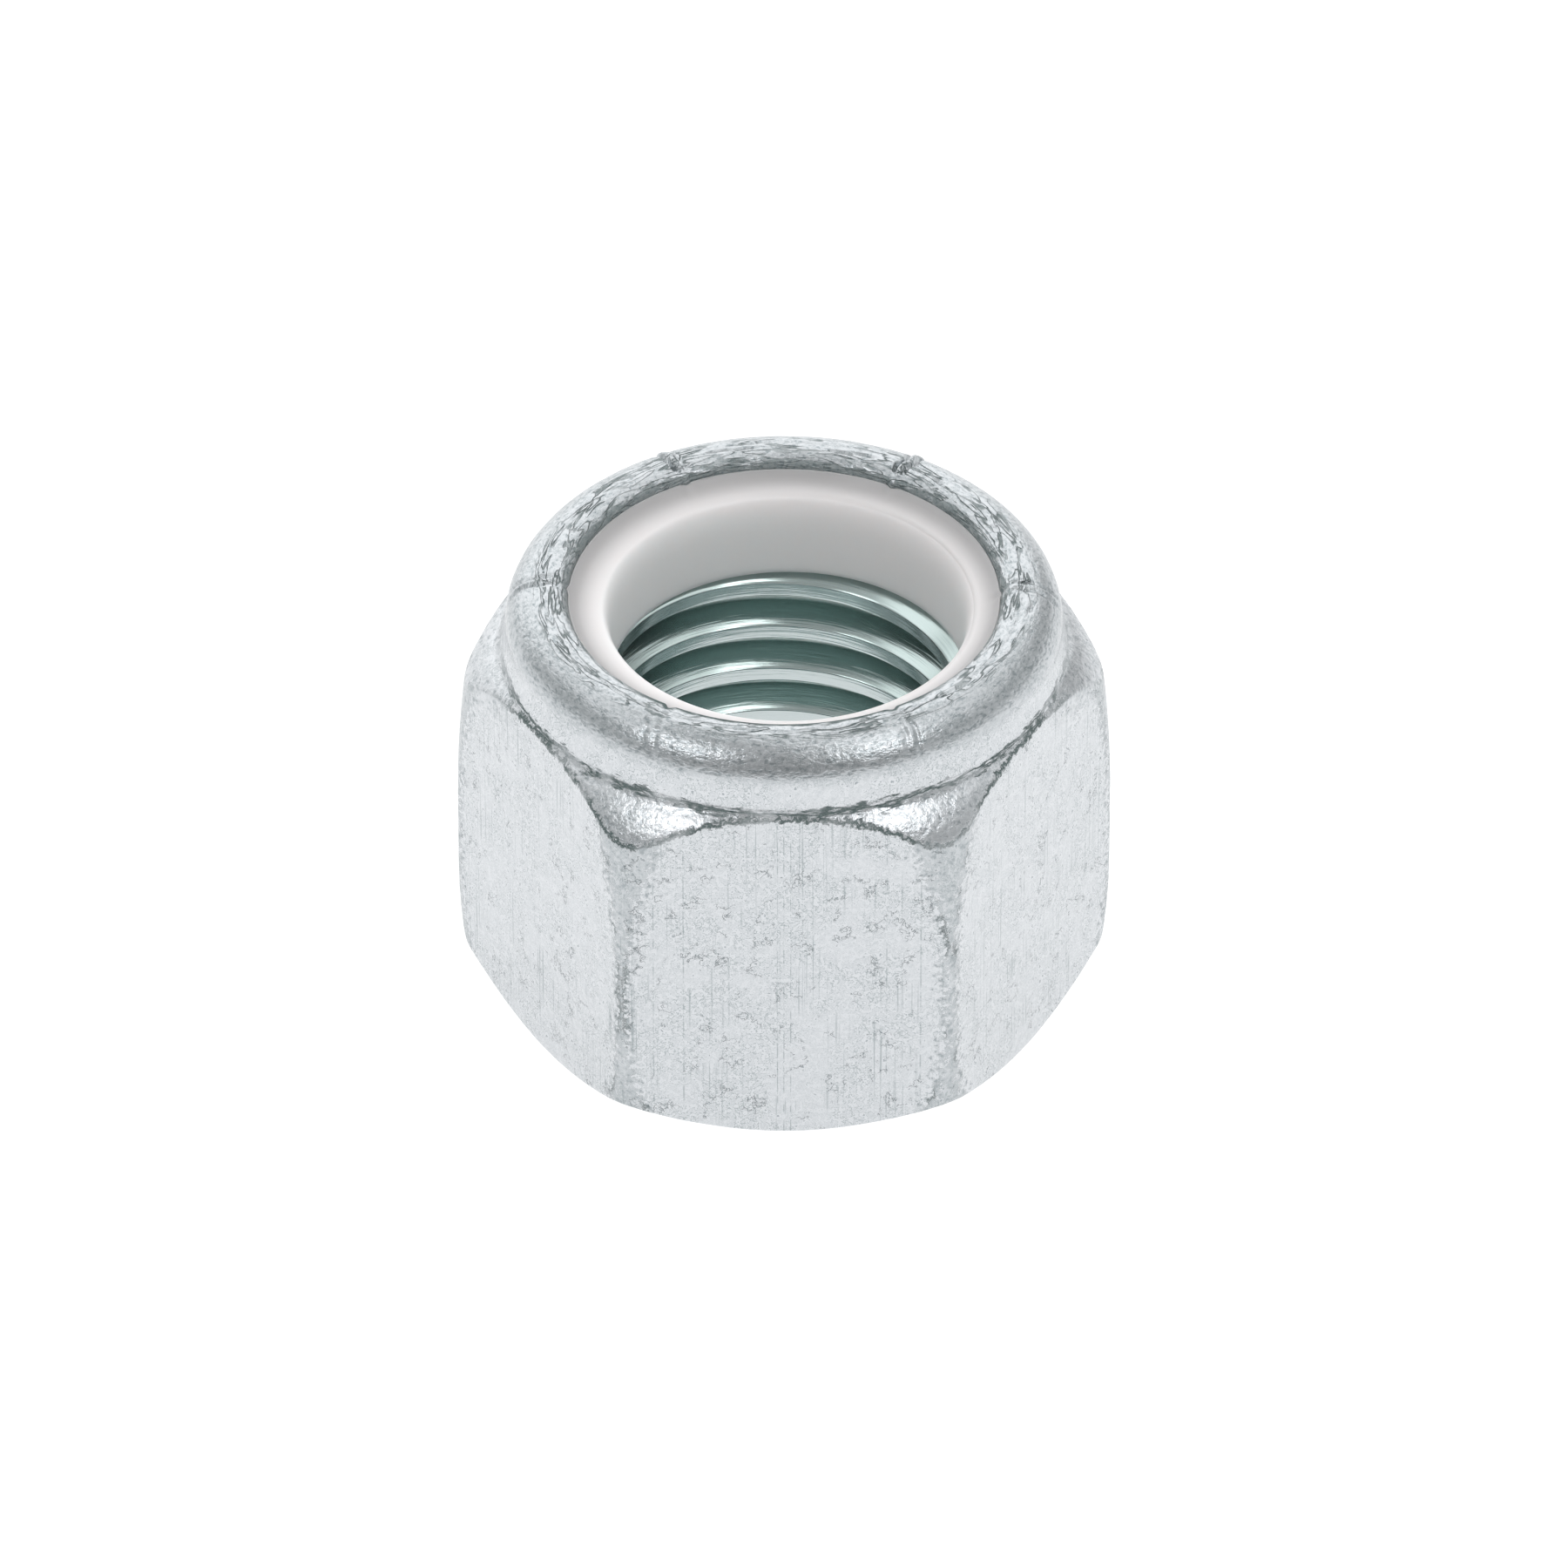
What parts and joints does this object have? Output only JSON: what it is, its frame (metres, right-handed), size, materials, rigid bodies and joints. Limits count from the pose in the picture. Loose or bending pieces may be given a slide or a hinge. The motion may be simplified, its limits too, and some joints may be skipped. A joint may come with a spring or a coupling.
{
  "type": "nylon insert lock nut",
  "caption": "Hexagon lock nut whose top is a round steel collar rolled in over a nylon ring that grips the bolt.",
  "frame": {"origin": "middle of the bearing face, on the thread's axis", "axes": "+Z along the thread's axis, from the bearing face towards the nylon ring; two opposite flats face -Y and +Y, two opposite corners lie on -X and +X"},
  "size_m": [0.031, 0.027, 0.0222],
  "materials": {
    "zinc_plated_steel": "bright zinc plate over forged steel, satin on the flats and grainy on the rolled collar",
    "natural_nylon": "natural white moulded nylon, smooth"
  },
  "bodies": {
    "root": {"nut_body": "zinc_plated_steel", "nylon_insert": "natural_nylon"}
  },
  "joints": []
}
